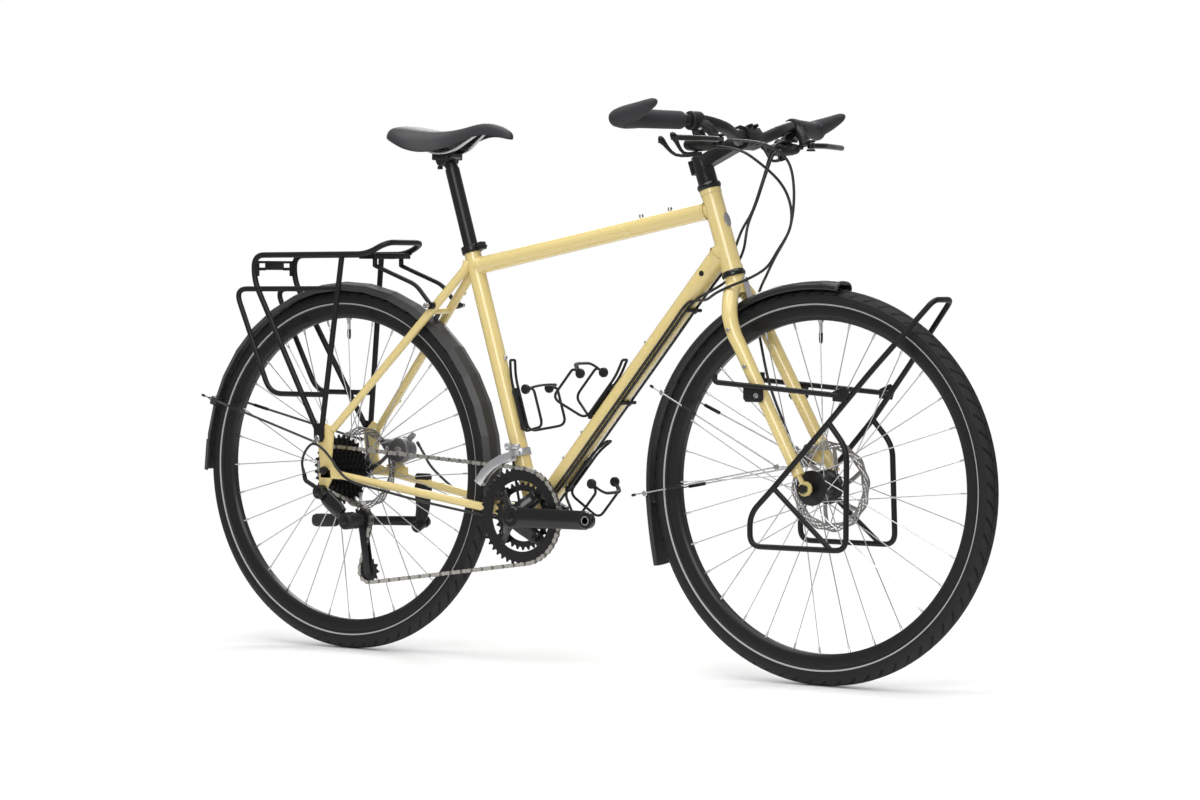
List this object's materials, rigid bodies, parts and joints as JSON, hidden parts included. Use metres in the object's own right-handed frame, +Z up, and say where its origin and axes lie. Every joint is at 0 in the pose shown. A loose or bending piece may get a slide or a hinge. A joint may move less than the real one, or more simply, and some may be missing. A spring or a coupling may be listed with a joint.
{
  "type": "touring bicycle",
  "caption": "Touring bicycle with mudguards, racks over both wheels, bottle cages, disc brakes, derailleur gears, kickstand and a flat bar with palm grips.",
  "frame": {"origin": "on the ground under the middle of the bicycle's overall length, in its middle plane", "axes": "+X forward, +Y to the rider's left, +Z up"},
  "size_m": [1.7872, 0.6488, 1.0253],
  "materials": {
    "cream_paint": "gloss",
    "black_metal": "satin",
    "black_plastic": "satin",
    "housing": "satin",
    "grip_rubber": "matte",
    "tyre_rubber": "matte",
    "silver": "brushed",
    "steel": "brushed",
    "vinyl": "satin"
  },
  "bodies": {
    "frame_assembly": {"frame": "cream_paint", "headset_lower_cup": "black_metal", "headset_upper_cup": "black_metal", "seat_clamp": "black_metal", "bottom_bracket": "black_metal", "rear_axle": "black_metal", "rear_rack": "black_metal", "rear_mudguard": "black_plastic", "rear_brake_caliper": "black_metal", "chain": "steel", "kickstand_bracket": "black_metal", "bottle_cage_seat_tube": "black_metal", "bottle_cage_down_tube": "black_metal", "bottle_cage_under_tube": "black_metal", "derailleur_mount": "black_metal", "front_derailleur_clamp": "silver", "rear_brake_cable": "housing", "rear_shift_cable": "housing", "front_shift_cable": "housing"},
    "steering_assembly": {"fork": "cream_paint", "stem": "black_metal", "handlebar": "black_metal", "grip_right": "grip_rubber", "grip_left": "grip_rubber", "controls_right": "black_plastic", "controls_left": "black_plastic", "front_rack": "black_metal", "front_mudguard": "black_plastic", "front_brake_caliper": "black_metal", "front_axle": "black_metal", "front_brake_cable": "housing"},
    "right_brake_lever": {"brake_lever_right": "black_metal"},
    "left_brake_lever": {"brake_lever_left": "black_metal"},
    "right_upper_trigger": {"shift_lever_right_upper": "black_plastic"},
    "right_lower_trigger": {"shift_lever_right_lower": "black_plastic"},
    "left_upper_trigger": {"shift_lever_left_upper": "black_plastic"},
    "left_lower_trigger": {"shift_lever_left_lower": "black_plastic"},
    "front_caliper_arm": {"front_brake_arm": "steel"},
    "rear_caliper_arm": {"rear_brake_arm": "steel"},
    "front_wheel": {"front_tyre": "tyre_rubber", "front_rim": "black_metal", "front_hub": "steel", "front_brake_disc": "steel"},
    "rear_wheel": {"rear_tyre": "tyre_rubber", "rear_rim": "black_metal", "rear_hub": "steel", "rear_brake_disc": "steel"},
    "sprockets": {"cassette": "black_metal"},
    "crankset": {"crank_right": "black_metal", "chainrings": "black_metal", "crank_left": "black_metal"},
    "swing_link": {"derailleur_link": "black_metal"},
    "lower_knuckle": {"derailleur_knuckle": "black_metal"},
    "pulley_cage": {"derailleur_cage": "black_metal"},
    "guide_wheel": {"guide_pulley": "black_plastic"},
    "tension_wheel": {"tension_pulley": "black_plastic"},
    "front_derailleur": {"front_derailleur_cage": "silver"},
    "kickstand": {"kickstand_leg": "black_metal"},
    "saddle_and_post": {"seatpost": "black_metal", "saddle": "vinyl"}
  },
  "joints": [
    {"name": "steering", "type": "hinge", "parent": "frame_assembly", "child": "steering_assembly", "pos_m": [0.48667, 0, 0.349], "axis": [-0.314, 0, 0.9494], "range_deg": [-60, 60], "deforming": ["rear_brake_cable", "rear_shift_cable", "front_shift_cable"]},
    {"name": "front_wheel_spin", "type": "hinge", "parent": "steering_assembly", "child": "front_wheel", "pos_m": [0.5446, 0, 0.349], "axis": [0, 1, 0], "continuous": true},
    {"name": "rear_wheel_spin", "type": "hinge", "parent": "frame_assembly", "child": "rear_wheel", "pos_m": [-0.5254, 0, 0.349], "axis": [0, 1, 0], "continuous": true},
    {"name": "crank_spin", "type": "hinge", "parent": "frame_assembly", "child": "crankset", "pos_m": [-0.0764, 0, 0.277], "axis": [0, 1, 0], "continuous": true},
    {"name": "sprocket_spin", "type": "hinge", "parent": "frame_assembly", "child": "sprockets", "pos_m": [-0.5254, 0, 0.349], "axis": [0, 1, 0], "continuous": true},
    {"name": "derailleur_swing", "type": "hinge", "parent": "frame_assembly", "child": "swing_link", "pos_m": [-0.5194, -0.07855, 0.298], "axis": [0.6091, 0, 0.7931], "range_deg": [-16, 9], "deforming": ["chain"]},
    {"name": "derailleur_follow", "type": "hinge", "parent": "swing_link", "child": "lower_knuckle", "pos_m": [-0.4634, -0.07855, 0.255], "axis": [0.6091, 0, 0.7931], "range_deg": [-9, 16], "deforming": ["chain"]},
    {"name": "cage_swing", "type": "hinge", "parent": "lower_knuckle", "child": "pulley_cage", "pos_m": [-0.4634, -0.03805, 0.255], "axis": [0, 1, 0], "range_deg": [0, 25], "deforming": ["chain"]},
    {"name": "guide_pulley_spin", "type": "hinge", "parent": "pulley_cage", "child": "guide_wheel", "pos_m": [-0.4634, -0.03805, 0.255], "axis": [0, 1, 0], "continuous": true},
    {"name": "tension_pulley_spin", "type": "hinge", "parent": "pulley_cage", "child": "tension_wheel", "pos_m": [-0.4474, -0.03805, 0.157], "axis": [0, 1, 0], "continuous": true},
    {"name": "front_derailleur_swing", "type": "hinge", "parent": "frame_assembly", "child": "front_derailleur", "pos_m": [-0.0954, -0.04, 0.405], "axis": [1, 0, 0], "range_deg": [0, 7], "deforming": ["chain"]},
    {"name": "right_brake_squeeze", "type": "hinge", "parent": "steering_assembly", "child": "right_brake_lever", "pos_m": [0.43223, -0.15, 0.95487], "axis": [0, 0, -1], "range_deg": [0, 20], "stiffness_Nm_per_rad": 1, "springref_deg": -5.73},
    {"name": "left_brake_squeeze", "type": "hinge", "parent": "steering_assembly", "child": "left_brake_lever", "pos_m": [0.43223, 0.15, 0.95487], "axis": [0, 0, 1], "range_deg": [0, 20], "stiffness_Nm_per_rad": 1, "springref_deg": -5.73},
    {"name": "right_upper_push", "type": "hinge", "parent": "steering_assembly", "child": "right_upper_trigger", "pos_m": [0.37835, -0.138, 0.925], "axis": [0, 0, -1], "range_deg": [0, 12], "stiffness_Nm_per_rad": 0.3, "springref_deg": -5.73},
    {"name": "right_lower_push", "type": "hinge", "parent": "steering_assembly", "child": "right_lower_trigger", "pos_m": [0.37835, -0.138, 0.925], "axis": [0, 0, -1], "range_deg": [0, 12], "stiffness_Nm_per_rad": 0.3, "springref_deg": -5.73},
    {"name": "left_upper_push", "type": "hinge", "parent": "steering_assembly", "child": "left_upper_trigger", "pos_m": [0.37835, 0.138, 0.925], "axis": [0, 0, 1], "range_deg": [0, 12], "stiffness_Nm_per_rad": 0.3, "springref_deg": -5.73},
    {"name": "left_lower_push", "type": "hinge", "parent": "steering_assembly", "child": "left_lower_trigger", "pos_m": [0.37835, 0.138, 0.925], "axis": [0, 0, 1], "range_deg": [0, 12], "stiffness_Nm_per_rad": 0.3, "springref_deg": -5.73},
    {"name": "front_arm_pull", "type": "hinge", "parent": "steering_assembly", "child": "front_caliper_arm", "pos_m": [0.4776, 0.0664, 0.399], "axis": [0, 1, 0], "range_deg": [0, 25]},
    {"name": "rear_arm_pull", "type": "hinge", "parent": "frame_assembly", "child": "rear_caliper_arm", "pos_m": [-0.4554, 0.0648, 0.388], "axis": [0, 1, 0], "range_deg": [0, 25]},
    {"name": "kickstand_fold", "type": "hinge", "parent": "frame_assembly", "child": "kickstand", "pos_m": [-0.4024, 0.073, 0.246], "axis": [-0.019, -0.9076, -0.4195], "range_deg": [0, 116]},
    {"name": "seatpost_slide", "type": "slide", "parent": "frame_assembly", "child": "saddle_and_post", "axis": [-0.2874, 0, 0.9578], "range_m": [-0.12, 0.1]}
  ],
  "couplings": [
    {"joint": "sprocket_spin", "follows": "crank_spin", "ratio": 2},
    {"joint": "guide_pulley_spin", "follows": "crank_spin", "ratio": -4},
    {"joint": "tension_pulley_spin", "follows": "crank_spin", "ratio": 4},
    {"joint": "derailleur_follow", "follows": "derailleur_swing", "ratio": -1},
    {"joint": "front_arm_pull", "follows": "right_brake_squeeze", "ratio": 1.2},
    {"joint": "rear_arm_pull", "follows": "left_brake_squeeze", "ratio": 1.2}
  ]
}
